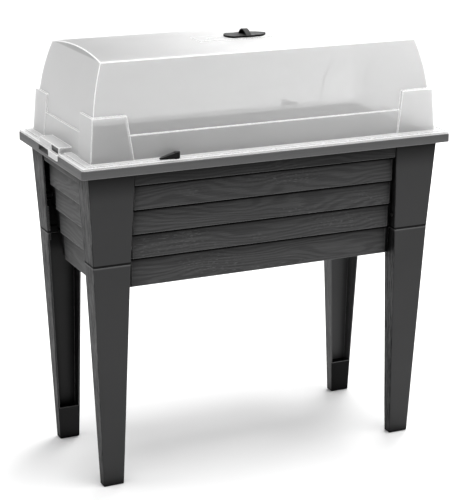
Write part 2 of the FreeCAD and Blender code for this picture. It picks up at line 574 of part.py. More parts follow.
def cover():
    seat = "d.cover_seat"
    wall = "d.cover_wall"
    dome_outer = rounded("dome_outer", dome("dome_sharp", "0", "d.step_top"), size("d.dome_round"),
                         lambda edge: edge.BoundBox.ZMax > size("d.crease_level") - 1
                         and edge.BoundBox.ZMin > size("d.ledge_level") - 1)
    outer = [dome_outer,
             skirt("skirt_outer", "0", seat, "d.ledge_level"),
             corner_blocks("blocks_outer", "0", seat)]
    flange = block("flange", "-d.flange_half_x", "d.flange_half_x", "-d.flange_half_y", "d.flange_half_y",
                   seat, "d.bead_top")
    bead_x, bead_y = "d.flange_half_x-d.bead_width", "d.flange_half_y-d.bead_width"
    groove = block("flange_groove", neg(bead_x), bead_x, neg(bead_y), bead_y, "d.flange_top", "d.bead_top+1")
    flange_round = rounded("flange_round", flange, size("d.rim_corner-1.5"), upright)
    outer.append(cut("flange_tray", flange_round, [groove]))
    outer.append(block("flange_step", "-d.step_half_x", "d.step_half_x", "-d.step_half_y", "d.step_half_y",
                       seat, "d.step_top"))
    most = 6
    for index in range(-most, most + 1):
        centre = "%d*d.nub_pitch" % index
        for end in ENDS:
            rect = (centre + "-d.nub_half", centre + "+d.nub_half", "d.step_half_y-1", bead_y + "+1")
            outer.append(corner_block("nub", rect, "d.flange_top-1", "d.flange_top+d.nub_rise", 1, end))
    inner = [dome("dome_inner", wall, "d.cover_seat-1"),
             skirt("skirt_inner", wall, seat + "-1", "d.ledge_level-" + wall),
             corner_blocks("blocks_inner", wall, seat + "-1")]
    for end in ENDS:
        outer.append(end_block("hump", end, "d.hump_in-1", "d.hump_out", "-d.hump_short", "d.hump_long",
                               seat, "d.hump_top"))
        outer.append(end_block("tab_bridge", end, "d.flange_half_x-2", "d.tab_out",
                               "-d.tab_far", "-d.tab_near", seat, "d.flange_top"))
        outer.append(end_block("tab", end, "d.rim_length/2+d.tab_gap", "d.tab_out",
                               "-d.tab_far", "-d.tab_near", "d.tab_bottom", "d.flange_top"))
        inner.append(end_block("hump_void", end, "d.hump_in+" + wall, "d.hump_out-" + wall,
                               "-d.hump_short+" + wall, "d.hump_long-" + wall,
                               seat + "-1", "d.hump_top-" + wall))
        inner.append(end_block("hump_window", end, "d.hump_out-" + wall + "-1", "d.hump_out+1",
                               "-d.window_high", "-d.window_low", "d.window_sill", "d.window_head"))
        inner.append(rod("latch_hole", "d.latch_shaft+0.3", "12", "%d*d.latch_x" % end, "%d*d.latch_y" % end,
                         seat + "-1"))
    low = "d.crease_level-2"
    outer.append(vent_block("vent_pad", "d.vent_pad_left", "d.vent_pad_right", "d.vent_pad_half",
                            "d.vent_pad_top-d.vent_pad_depth", "d.vent_pad_top"))
    inner.append(vent_block("vent_pad_void", "d.vent_pad_left-" + wall, "d.vent_pad_right-" + wall,
                            "d.vent_pad_half-" + wall, low, "d.vent_pad_top-" + wall))
    inner.append(vent_block("vent_hole", "d.vent_hole_left", "d.vent_hole_right", "d.vent_hole_half",
                            low, "d.vent_pad_top+1"))
    inner.append(vent_block("vent_slot", "d.stem_far+d.vent_travel+d.vent_slot_play",
                            "d.vent_slot_play-d.stem_near", "d.vent_slot_half", low, "d.vent_pad_top+1"))
    return cut("cover", fuse("cover_outer", outer), inner)


# ---------------------------------------------------------------- roof vent
def roof_vent_slider():
    """Two-lobed plate with an arched grip across its middle, closed on one side, and a stem below."""
    body = new_body("roof_vent_slider")
    base = "d.vent_pad_top+d.vent_gap"
    x0, x1 = "d.vent_x-d.vent_length/2", "d.vent_x+d.vent_length/2"
    y0, y1 = "d.vent_y-d.vent_width/2", "d.vent_y+d.vent_width/2"
    ear0, ear1 = "d.vent_y-d.vent_middle/2", "d.vent_y+d.vent_middle/2"
    plan = outline(new_sketch(body, "vent_plan", "XY", base),
                   [(x0 + "+d.vent_nose", y0), ("d.vent_x-d.vent_shoulder", y0 + "+1"),
                    ("d.vent_x-d.vent_waist", ear0), ("d.vent_x+d.vent_waist", ear0),
                    ("d.vent_x+d.vent_shoulder", y0 + "+1"), (x1 + "-d.vent_taper", y0),
                    (x1, "d.vent_y-d.vent_tip"), (x1, "d.vent_y+d.vent_tip"),
                    (x1 + "-d.vent_taper", y1), ("d.vent_x+d.vent_shoulder", y1 + "-1"),
                    ("d.vent_x+d.vent_waist", ear1), ("d.vent_x-d.vent_waist", ear1),
                    ("d.vent_x-d.vent_shoulder", y1 + "-1"), (x0 + "+d.vent_nose", y1)],
                   {5: "d.vent_side_bulge", 7: "d.vent_side_bulge", 13: "d.vent_nose_bulge"})
    pad(body, plan, "d.vent_plate")
    arch_low, arch_high = base + "+d.vent_plate-1", base + "+d.vent_plate+d.arch_rise"
    front, back = "d.vent_y-d.arch_front", "d.vent_y+d.arch_back"
    top_front, top_back = "d.vent_y-d.arch_top_front", "d.vent_y+d.arch_top_back"
    bulges = {1: "d.arch_side_bulge", 2: "d.arch_top_bulge", 3: "d.arch_side_bulge"}
    grip = outline(new_sketch(body, "vent_grip", "YZ", "d.vent_x+(d.arch_right-d.arch_left)/2"),
                   [(front, arch_low), (back, arch_low), (top_back, arch_high), (top_front, arch_high)],
                   bulges)
    pad(body, grip, "d.arch_left+d.arch_right", both_sides=True)
    under_low, under_top = base + "+d.vent_plate", arch_high + "-d.arch_strap"
    under = outline(new_sketch(body, "vent_under", "YZ", "d.vent_x-d.arch_left"),
                    [(front + "+d.arch_foot", under_low), (back + "-d.arch_foot", under_low),
                     (top_back, under_top), (top_front, under_top)], bulges)
    pocket(body, under, "2*(d.arch_left+d.arch_right-d.arch_web)", both_sides=True)
    stem_far, stem_near = "d.vent_x-d.stem_far", "d.vent_x-d.stem_near"
    stem = outline(new_sketch(body, "vent_stem", "XY", base + "+1"),
                   [(stem_far, "d.vent_y-d.stem_half"), (stem_near, "d.vent_y-d.stem_half"),
                    (stem_near, "d.vent_y+d.stem_half"), (stem_far, "d.vent_y+d.stem_half")])
    pad(body, stem, "d.stem_length", backwards=True)
    bore = circle(new_sketch(body, "vent_bore", "XY", base + "-d.stem_bore_low"),
                  "d.vent_x-d.stem_screw", "d.vent_y", "d.stem_bore")
    pocket(body, bore, "d.stem_bore_length", backwards=True)
    return body


def vent_retainer():
    """Plate under the roof that the stem of the vent is screwed to."""
    body = new_body("vent_retainer")
    top = "d.vent_pad_top-d.cover_wall-d.retainer_gap"
    far, near = "d.vent_x-d.retainer_far", "d.vent_x-d.retainer_near"
    plan = outline(new_sketch(body, "retainer_plan", "XY", top),
                   [(far, "d.vent_y-d.retainer_half"), (near, "d.vent_y-d.retainer_half"),
                    (near, "d.vent_y+d.retainer_half"), (far, "d.vent_y+d.retainer_half")],
                   {1: "d.retainer_bulge", 3: "d.retainer_bulge"})
    pad(body, plan, "d.retainer_height", backwards=True)
    bore = circle(new_sketch(body, "retainer_bore", "XY", top + "+1"),
                  "d.vent_x-d.stem_screw", "d.vent_y", "d.retainer_bore")
    pocket(body, bore, "2*d.retainer_height")
    seat_far = "d.vent_x-d.stem_far-d.retainer_play"
    seat_near = "d.vent_x-d.stem_near+d.retainer_play"
    seat_half = "(d.stem_half+d.retainer_play)"
    seat = outline(new_sketch(body, "retainer_seat", "XY", top),
                   [(seat_far, "d.vent_y-" + seat_half), (seat_near, "d.vent_y-" + seat_half),
                    (seat_near, "d.vent_y+" + seat_half), (seat_far, "d.vent_y+" + seat_half)])
    pocket(body, seat, "d.retainer_seat")
    return body


# ---------------------------------------------------------------- cover latches
def latch_lever(name, end):
    """Tapered lever on a hub, whose shaft goes down through the flange and the rim."""
    body = new_body(name)
    base = "d.step_top+d.latch_gap"
    hub_x, hub_y = "%d*d.latch_x" % end, "%d*d.latch_y" % end
    hub = circle(new_sketch(body, name + "_hub", "XY", base), hub_x, hub_y, "d.latch_hub")
    pad(body, hub, "d.latch_high")
    root = "%s%+d*d.latch_root" % (hub_x, end)
    tip = "%s%+d*d.latch_reach" % (hub_x, end)
    root_top = base + "+d.latch_high-d.latch_arm_drop"
    arm = [(tip, base), (root, base), (root, root_top), (tip, base + "+d.latch_tip")]
    if end > 0:
        arm = [arm[1], arm[0], arm[3], arm[2]]
    side = outline(new_sketch(body, name + "_side", "XZ", neg(hub_y)), arm)
    pad(body, side, "2*d.latch_hub-1", both_sides=True)
    beyond = "%s%+d*4" % (tip, end)
    for flank in ENDS:
        edge = "%s%+d*(d.latch_hub+0.1)" % (hub_y, flank)
        near = "%s%+d*d.latch_tip_half" % (hub_y, flank)
        wedge = [(root, edge), (beyond, edge), (beyond, near)]
        if end == flank:
            wedge = [wedge[0], wedge[2], wedge[1]]
        side_name = "%s_taper_%s" % (name, "back" if flank > 0 else "front")
        taper = outline(new_sketch(body, side_name, "XY", base + "-1"), wedge)
        pocket(body, taper, "d.latch_high+4", backwards=True)
    shaft = circle(new_sketch(body, name + "_shaft", "XY", base + "+1"), hub_x, hub_y, "d.latch_shaft")
    pad(body, shaft, "d.step_top-d.rim_top+d.rim_plate+d.latch_drop", backwards=True)
    bore = circle(new_sketch(body, name + "_bore", "XY", "d.rim_top-d.rim_plate-4"), hub_x, hub_y,
                  "d.latch_bore")
    pocket(body, bore, "d.latch_bore_length", backwards=True)
    return body


def latch_key(name, end):
    """Cross bar that passes the slot in the rim, and locks under it when turned."""
    body = new_body(name)
    top = "d.rim_top-d.rim_plate-d.key_gap"
    hub_x, hub_y = "%d*d.latch_x" % end, "%d*d.latch_y" % end
    x0 = hub_x + "-d.key_length/2+d.key_bulge"
    x1 = hub_x + "+d.key_length/2-d.key_bulge"
    y0 = hub_y + "-d.key_width/2"
    y1 = hub_y + "+d.key_width/2"
    plan = outline(new_sketch(body, name + "_plan", "XY", top),
                   [(x0, y0), (x1, y0), (x1, y1), (x0, y1)], {1: "d.key_bulge", 3: "d.key_bulge"})
    pad(body, plan, "d.key_height", backwards=True)
    bore = circle(new_sketch(body, name + "_bore", "XY", top + "+1"), hub_x, hub_y, "d.key_bore")
    pocket(body, bore, "d.key_height+3")
    return body


# ---------------------------------------------------------------- drains
def drain_plug(name, end):
    """Push-in plug with a finger grip below and a hollow stem."""
    x = "%d*d.drain_x" % end
    low = "d.tub_bottom-d.seal_height"
    radius = "d.drain_radius-d.plug_fit"
    stem_length = "d.seal_height+d.tub_wall+d.plug_above"
    disc = rod(name + "_disc", "d.plug_head", "d.plug_disc", x, "0", low + "-d.plug_disc")
    grip = block(name + "_grip", x + "-d.plug_grip", x + "+d.plug_grip",
                 "-d.plug_grip_half", "d.plug_grip_half", low + "-d.plug_grip_low", low + "-2")
    stem = rod(name + "_stem", radius, stem_length + "+1", x, "0", low + "-1")
    hollow = rod(name + "_hollow", radius + "-d.plug_wall", stem_length, x, "0", low + "+1")
    return cut(name, fuse(name + "_solid", [disc, grip, stem]), [hollow])


def drain_seal(name, end):
    x = "%d*d.drain_x" % end
    low = "d.tub_bottom-d.seal_height+d.seal_play"
    ring = rod(name + "_ring", "d.plug_head-d.seal_inset", "d.seal_height-2*d.seal_play", x, "0", low)
    hole = rod(name + "_hole", "d.drain_radius-d.plug_fit+d.seal_play", "2*d.seal_height", x, "0", low + "-1")
    return cut(name, ring, [hole])


# ---------------------------------------------------------------- assembly
nodes = {"planter_tub": planter_tub()}
for corner, (sx, sy) in CORNERS.items():
    nodes["leg_upper_" + corner] = leg_upper("leg_upper_" + corner, sx, sy)
    nodes["leg_lower_" + corner] = leg_lower("leg_lower_" + corner, sx, sy)
nodes["leg_screws"] = leg_screws()
nodes["leg_joint_screws"] = leg_joint_screws()
nodes["cover"] = cover()
nodes["roof_vent_slider"] = roof_vent_slider()
nodes["vent_retainer"] = vent_retainer()
vent_screw_low = "d.vent_pad_top-d.cover_wall-d.retainer_gap-d.retainer_height-%s-0.2" % VENT_SCREW[1]
nodes["vent_screw"] = screw("vent_screw", "d.vent_x-d.stem_screw", "d.vent_y", vent_screw_low,
                            "z", VENT_SCREW)
latch_screw_low = "d.rim_top-d.rim_plate-d.key_gap-d.key_height-%s-0.1" % LATCH_SCREW[1]
for side, end in (("front_left", -1), ("back_right", 1)):
    nodes["latch_lever_" + side] = latch_lever("latch_lever_" + side, end)
    nodes["latch_key_" + side] = latch_key("latch_key_" + side, end)
    nodes["latch_screw_" + side] = screw("latch_screw_" + side, "%d*d.latch_x" % end, "%d*d.latch_y" % end,
                                         latch_screw_low, "z", LATCH_SCREW)
for side, end in (("left", -1), ("right", 1)):
    nodes["drain_plug_" + side] = drain_plug("drain_plug_" + side, end)
    nodes["drain_seal_" + side] = drain_seal("drain_seal_" + side, end)
doc.recompute()

for item in doc.Objects:
    if "Invalid" in item.State or "Error" in item.State:
        raise RuntimeError("failed object: " + item.Name)
for name, item in nodes.items():
    item.Label = name
    shape = item.Shape
    if shape.isNull() or not shape.isValid():
        raise RuntimeError("bad shape: " + name)
    box = shape.BoundBox
    print("%-28s %2d solids  x %.1f..%.1f  y %.1f..%.1f  z %.1f..%.1f" % (
        name, len(shape.Solids), box.XMin, box.XMax, box.YMin, box.YMax, box.ZMin, box.ZMax))
for name, item in nodes.items():
    item.Shape.exportStep("parts/" + name + ".step")
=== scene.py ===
import json
import math

import bpy
from mathutils import Matrix, Vector


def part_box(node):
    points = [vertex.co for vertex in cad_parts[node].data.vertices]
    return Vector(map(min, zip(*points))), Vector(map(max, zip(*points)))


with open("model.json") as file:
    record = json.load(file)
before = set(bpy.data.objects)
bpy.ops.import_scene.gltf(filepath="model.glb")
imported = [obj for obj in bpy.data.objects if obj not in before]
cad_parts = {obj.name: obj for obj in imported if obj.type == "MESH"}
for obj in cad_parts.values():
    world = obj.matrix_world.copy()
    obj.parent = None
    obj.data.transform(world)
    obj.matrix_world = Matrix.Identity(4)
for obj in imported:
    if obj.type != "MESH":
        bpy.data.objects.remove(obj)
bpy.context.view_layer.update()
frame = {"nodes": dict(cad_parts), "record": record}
scene = bpy.context.scene


# ------------------------------------------------------------------ places on the object, in metres
tub_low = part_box("planter_tub")[0]
upper_leg_low, upper_leg_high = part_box("leg_upper_back_left")
cover_low, cover_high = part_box("cover")

RIM_LOW = upper_leg_high.z - 0.012      # lower edge of the rim's lip
BAND_LOW = RIM_LOW - 0.028              # lower edge of the plain band between rim and boards
BOARDS_LOW = tub_low.z + 0.0117         # lower edge of the lowest board
BOARD_PITCH = 0.0492
SEAM = upper_leg_low.z - 0.0013         # where the lower leg's shoulder ends
FOOT_CAP = 0.0695                       # height of the closed foot of a leg
REAR_Y = upper_leg_low.y - 0.0045       # of the legs, only the rear ones lie behind this
FLANGE_TOP = cover_low.z + 0.0155
DOME_LOW = cover_low.z + 0.062          # ledge on which the dome stands
CREASE = cover_high.z - 0.011           # where the dome's front meets its roof
END_HEAD = CREASE + 0.014               # height to which the arc of the dome's end runs
ROOF_TOP = cover_high.z - 0.001
ROOF_DROP = 0.01                        # how far the roof falls from its middle to the crease
DOME_LOW_X, DOME_HIGH_X = cover_high.x - 0.0358, cover_high.x - 0.0667
DOME_LOW_Y, DOME_HIGH_Y = cover_high.y - 0.0279, cover_high.y - 0.0511
END_BULGE, FRONT_BULGE = 0.0074, 0.0026


def grey(tone, blue=None):
    """Neutral colour, or one whose blue differs a little."""
    return (tone, tone, tone if blue is None else blue, 1)


# ------------------------------------------------------------------ node helpers
class Shader:
    """Short way to write a material's nodes."""

    def __init__(self, name):
        self.material = bpy.data.materials.new(name)
        self.material.use_nodes = True
        self.tree = self.material.node_tree
        self.tree.nodes.clear()
        self.out = self.node("ShaderNodeOutputMaterial")

    def node(self, kind, settings=None, **inputs):
        made = self.tree.nodes.new(kind)
        for key, value in (settings or {}).items():
            setattr(made, key, value)
        for key, value in inputs.items():
            self.feed(made.inputs[key.replace("_", " ")], value)
        return made

    def feed(self, socket, value):
        if isinstance(value, bpy.types.NodeSocket):
            self.tree.links.new(value, socket)
        elif isinstance(value, bpy.types.Node):
            self.tree.links.new(value.outputs[0], socket)
        else:
            socket.default_value = value

    def math(self, operation, first, second=0.0, clamp=False):
        made = self.node("ShaderNodeMath", {"operation": operation, "use_clamp": clamp})
        self.feed(made.inputs[0], first)
        self.feed(made.inputs[1], second)
        return made.outputs[0]

    def product(self, first, *others):
        for other in others:
            first = self.math("MULTIPLY", first, other)
        return first

    def total(self, first, *others):
        for other in others:
            first = self.math("ADD", first, other)
        return first

    def inverse(self, share):
        return self.math("SUBTRACT", 1.0, share)

    def gap(self, first, second):
        """How far apart two values are."""
        return self.math("ABSOLUTE", self.math("SUBTRACT", first, second))

    def share_of(self, value, low, length):
        """0 at low and 1 a length above it."""
        return self.math("DIVIDE", self.math("SUBTRACT", value, low), length)

    def ramp(self, value, low, high, to_low=0.0, to_high=1.0, smooth=True):
        made = self.node("ShaderNodeMapRange",
                         {"interpolation_type": "SMOOTHSTEP" if smooth else "LINEAR", "clamp": True})
        self.feed(made.inputs["Value"], value)
        for key, number in (("From Min", low), ("From Max", high), ("To Min", to_low), ("To Max", to_high)):
            self.feed(made.inputs[key], number)
        return made.outputs["Result"]

    def band(self, value, start, full, fade, stop, peak=1.0):
        """peak between full and fade, falling to 0 at start and at stop."""
        return self.product(self.ramp(value, start, full), self.ramp(value, fade, stop, peak, 0.0))

    def mix_colour(self, share, first, second):
        made = self.node("ShaderNodeMix", {"data_type": "RGBA"})
        self.feed(made.inputs["Factor"], share)
        self.feed(made.inputs["A"], first)
        self.feed(made.inputs["B"], second)
        return made.outputs["Result"]

    def place(self):
        return self.node("ShaderNodeTexCoord").outputs["Object"]

    def outward(self):
        return self.node("ShaderNodeTexCoord").outputs["Normal"]

    def axes(self, vector):
        made = self.node("ShaderNodeSeparateXYZ", Vector=vector)
        return made.outputs["X"], made.outputs["Y"], made.outputs["Z"]

    def scaled(self, vector, x, y, z):
        made = self.node("ShaderNodeMapping")
        self.feed(made.inputs["Vector"], vector)
        made.inputs["Scale"].default_value = (x, y, z)
        return made.outputs["Vector"]

    def noise(self, vector, scale, detail=3.0, rough=0.5, warp=0.0):
        made = self.node("ShaderNodeTexNoise", Scale=scale, Detail=detail, Roughness=rough, Distortion=warp)
        self.feed(made.inputs["Vector"], vector)
        return made.outputs["Fac"]

    def dot(self, first, second):
        made = self.node("ShaderNodeVectorMath", {"operation": "DOT_PRODUCT"})
        self.feed(made.inputs[0], first)
        self.feed(made.inputs[1], second)
        return made.outputs["Value"]

    def rounded(self, radius):
        """Surface direction with every edge rounded to the radius."""
        return self.node("ShaderNodeBevel", {"samples": 6}, Radius=radius).outputs["Normal"]

    def edge(self, radius, low=0.02, high=0.22):
        """0 on flat faces and 1 along edges sharper than a gentle bend; it masks the painted edge
        highlights.
        """
        flat = self.node("ShaderNodeNewGeometry").outputs["True Normal"]
        return self.ramp(self.inverse(self.dot(self.rounded(radius), flat)), low, high)

    def crease(self, distance, low=0.35, high=0.95):
        """1 in the open and 0 deep in a crease narrower than the distance."""
        made = self.node("ShaderNodeAmbientOcclusion", {"samples": 8}, Distance=distance)
        return self.ramp(made.outputs["AO"], low, high, smooth=False)

    def bump(self, height, distance, strength=1.0, normal=None):
        made = self.node("ShaderNodeBump", Strength=strength, Distance=distance, Height=height)
        if normal is not None:
            self.feed(made.inputs["Normal"], normal)
        return made.outputs["Normal"]

    def principled(self, **inputs):
        return self.node("ShaderNodeBsdfPrincipled", **inputs)

    def finish(self, shader):
        self.feed(self.out.inputs["Surface"], shader)
        return self.material


# ------------------------------------------------------------------ materials of the planter
def grain_plane(sh):
    """Place along a wall and height on it, for walls that face front or side."""
    end_shift = 1.7     # gives the end walls a grain of their own
    x, y, z = sh.axes(sh.place())
    facing_end = sh.math("GREATER_THAN", sh.math("ABSOLUTE", sh.axes(sh.outward())[0]), 0.6)
    along = sh.node("ShaderNodeMix", {"data_type": "FLOAT"})
    sh.feed(along.inputs["Factor"], facing_end)
    sh.feed(along.inputs["A"], x)
    sh.feed(along.inputs["B"], sh.math("ADD", y, end_shift))
    return along.outputs["Result"], z


def dark_plastic(sh, height, base, rough, grain, depth, dim, shine, painted_shade_lift=0.0):
    """Satin dark plastic with painted edge highlights, painted shade in creases and under the rim's lip, and
    a lighter rim.

    height is embossed with the strength grain and the depth given. dim goes from 0 to 1 in full painted
    shade, shine scales the gloss, and the last argument goes from 0 to 1 where painted light lifts the
    painted crease shade.
    """
    level = sh.axes(sh.place())[2]
    rim = sh.ramp(level, RIM_LOW - 0.0005, RIM_LOW + 0.0005)
    # painted shadow of the rim's lip on the band and legs below it
    rim_shadow = sh.product(sh.ramp(level, RIM_LOW - 0.058, RIM_LOW - 0.001, 0.0, 0.62), sh.inverse(rim))
    shade = sh.math("MAXIMUM", dim, rim_shadow)
    lit = sh.inverse(shade)
    # painted shade in creases and recesses, from ambient occlusion, left out on the rim and where painted
    # light lifts it
    least = sh.math("MAXIMUM", rim, painted_shade_lift)
    open_wide = sh.math("MAXIMUM", sh.crease(0.06, 0.45), least)
    open_near = sh.math("MAXIMUM", sh.crease(0.016, 0.4), sh.product(least, 0.8))
    toned = sh.mix_colour(rim, base, grey(0.115, 0.116))
    shaded = sh.mix_colour(open_wide, grey(0.007), toned)
    crease_shaded = sh.mix_colour(open_near, grey(0.002), shaded)
    # painted shade, in full where the shade mask reaches 1
    shade_painted = sh.mix_colour(shade, crease_shaded, grey(0.002))
    # painted highlight along the edges, lighter on the rim and left out in the painted shade
    edge = sh.product(sh.edge(0.0021, 0.02, 0.16), lit, 0.85)
    highlight_tone = sh.mix_colour(rim, grey(0.17, 0.171), grey(0.34, 0.341))
    # painted shade on the gloss as well: less of it in creases and in the painted shade
    gloss = sh.product(sh.ramp(sh.crease(0.03), 0.0, 1.0, 0.02, 0.34), lit, shine)
    return sh.finish(sh.principled(
        Base_Color=sh.mix_colour(edge, shade_painted, highlight_tone), Roughness=rough, Specular_IOR_Level=gloss,
        Normal=sh.bump(height, depth, grain, sh.rounded(0.0012))))


def moulded_boards():
    """Dark plastic with an embossed wood grain along each board and painted shadow under each board's
    overlap.
    """
    sh = Shader("boards_anthracite")
    along, rise = grain_plane(sh)
    grain_low = BOARDS_LOW - 0.0004
    board = sh.math("FLOOR", sh.share_of(rise, grain_low, BOARD_PITCH))
    wood = sh.node("ShaderNodeCombineXYZ")
    sh.feed(wood.inputs["X"], sh.math("ADD", along, sh.product(board, 0.83)))
    sh.feed(wood.inputs["Y"], rise)
    sh.feed(wood.inputs["Z"], sh.product(board, 0.37))

    flow = sh.noise(sh.scaled(wood, 3.2, 14.0, 1.0), 1.0, 2.0, 0.5)
    rings = sh.math("SINE", sh.total(sh.product(flow, 78.0), sh.product(rise, 620.0)))
    streak = sh.noise(sh.scaled(wood, 9.0, 330.0, 1.0), 1.0, 3.0, 0.6, 0.4)
    fleck = sh.noise(sh.scaled(wood, 40.0, 900.0, 1.0), 1.0, 2.0, 0.6)
    height = sh.total(sh.product(sh.ramp(rings, -0.9, 0.7), 0.18), sh.product(streak, 0.8),
                      sh.product(fleck, 0.3))
    knots = sh.ramp(sh.noise(sh.scaled(wood, 5.0, 16.0, 1.0), 1.0, 2.0, 0.5), 0.5, 0.68)
    chip = sh.ramp(sh.noise(sh.scaled(wood, 110.0, 520.0, 1.0), 1.0, 2.0, 0.6), 0.56, 0.66)
    plain = sh.mix_colour(sh.ramp(height, 0.35, 1.15), grey(0.03, 0.0305), grey(0.064, 0.0645))
    grain = sh.mix_colour(sh.product(knots, chip, 0.6), plain, grey(0.11, 0.111))

    above_foot = sh.ramp(rise, BOARDS_LOW + 0.0023, BOARDS_LOW + 0.0053)
    below_band = sh.inverse(sh.ramp(rise, BAND_LOW - 0.0005, BAND_LOW + 0.0005))
    share = sh.math("FRACT", sh.share_of(rise, BOARDS_LOW, BOARD_PITCH))
    # painted shadow under each board's overlap: a dark line just below the next board's lower edge, fading
    # down the board
    under_lap_shadow = sh.product(sh.ramp(share, 0.82, 0.93), below_band, above_foot)
    upper_board_shade = sh.product(sh.ramp(share, 0.3, 0.9, 0.0, 0.25), above_foot)
    return dark_plastic(sh, height, grain, sh.ramp(streak, 0.3, 0.7, 0.48, 0.62), 0.85, 0.0006,
                        sh.math("MAXIMUM", under_lap_shadow, upper_board_shade), sh.ramp(height, 0.35, 1.1, 0.6, 1.1))


def leg_plastic():
    """Dark satin plastic, smooth on the broad faces and grained on the narrow ones, with painted shade,
    painted highlights and painted light.
    """
    sh = Shader("legs_anthracite")
    outward_x, outward_y, _ = sh.axes(sh.outward())
    side = sh.ramp(sh.math("ABSOLUTE", outward_x), 0.5, 0.8)
    front_face = sh.ramp(outward_y, -0.9, -0.5, 1.0, 0.0)
    place = sh.place()
    x, y, z = sh.axes(place)

    streak = sh.noise(sh.scaled(place, 260.0, 260.0, 11.0), 1.0, 3.0, 0.6, 0.3)
    stipple = sh.noise(place, 1500.0, 2.0, 0.5)
    cloud = sh.noise(place, 9.0, 3.0, 0.5)
    fleck = sh.noise(sh.scaled(place, 520.0, 520.0, 60.0), 1.0, 3.0, 0.65)
    marks = sh.total(sh.product(streak, 0.5), sh.product(fleck, 0.5))
    height = sh.total(sh.product(stipple, 0.25), sh.product(fleck, side))
    smooth = sh.mix_colour(cloud, grey(0.018, 0.0185), grey(0.023, 0.0235))
    grained = sh.mix_colour(sh.ramp(marks, 0.38, 0.62), grey(0.008, 0.0085), grey(0.038, 0.039))
    shine = sh.inverse(sh.product(side, sh.ramp(marks, 0.4, 0.6, 0.8, 0.15)))

    rear = sh.ramp(y, REAR_Y - 0.005, REAR_Y)
    # painted light on the right rear leg below its seam, meant for its open recess: a lighter colour there
    # and no painted crease shade
    channel_fill_light = sh.product(sh.ramp(x, 0.0, 0.1), rear, sh.ramp(z, SEAM - 0.034, SEAM - 0.014, 0.9, 0.0))
    above_seam = sh.band(z, SEAM - 0.0005, SEAM + 0.0005, SEAM + 0.0035, SEAM + 0.005)
    # painted highlight on the lower leg's shoulder, just below the seam
    seam_highlight = sh.band(z, SEAM - 0.0035, SEAM - 0.0025, SEAM - 0.0005, SEAM + 0.0005, 0.8)
    toned = sh.mix_colour(channel_fill_light, sh.mix_colour(side, smooth, grained), grey(0.075, 0.076))
    base = sh.mix_colour(seam_highlight, toned, grey(0.085, 0.086))
    # painted shade on the front faces of the rear legs' feet
    cap = sh.ramp(z, FOOT_CAP - 0.0015, FOOT_CAP, 1.0, 0.0)
    rear_foot_shade = sh.product(rear, cap, front_face, sh.ramp(x, -0.1, 0.1, 0.55, 0.88))
    dim = sh.math("MAXIMUM", rear_foot_shade, sh.product(above_seam, 0.85))
    rough = sh.ramp(cloud, 0.3, 0.7, 0.5, 0.58)
    return dark_plastic(sh, height, base, rough, 0.6, 0.0004, dim, shine, channel_fill_light)


# ------------------------------------------------------------------ material of the cover
def arc_at(sh, share, foot, head, bulge):
    """Half size of the dome at a share of its height, along a shallow arc from foot to head."""
    bow = sh.product(share, sh.inverse(share), 4.0 * bulge)
    return sh.total(sh.product(share, head - foot), foot, bow)


def dome_edge_highlight(sh):
    """Painted highlight along the rounded edges where the dome's end, front and roof meet, and 0 elsewhere.
    """
    x, y, z = sh.axes(sh.place())
    x, y = sh.math("ABSOLUTE", x), sh.math("ABSOLUTE", y)
    end_share = sh.share_of(z, DOME_LOW, END_HEAD - DOME_LOW)
    front_share = sh.share_of(z, DOME_LOW, CREASE - DOME_LOW)
    to_end = sh.gap(arc_at(sh, end_share, DOME_LOW_X, DOME_HIGH_X, END_BULGE), x)
    to_front = sh.gap(arc_at(sh, front_share, DOME_LOW_Y, DOME_HIGH_Y, FRONT_BULGE), y)
    across = sh.math("POWER", sh.math("DIVIDE", y, DOME_HIGH_Y), 2.0)
    to_roof = sh.gap(sh.math("SUBTRACT", ROOF_TOP, sh.product(across, ROOF_DROP)), z)
    nearer, farther = sh.math("MINIMUM", to_end, to_front), sh.math("MAXIMUM", to_end, to_front)
    second = sh.math("MAXIMUM", nearer, sh.math("MINIMUM", farther, to_roof))
    above_ledge = sh.ramp(z, DOME_LOW + 0.002, DOME_LOW + 0.004)
    return sh.product(sh.ramp(second, 0.0007, 0.0024, 0.75, 0.0), above_ledge)


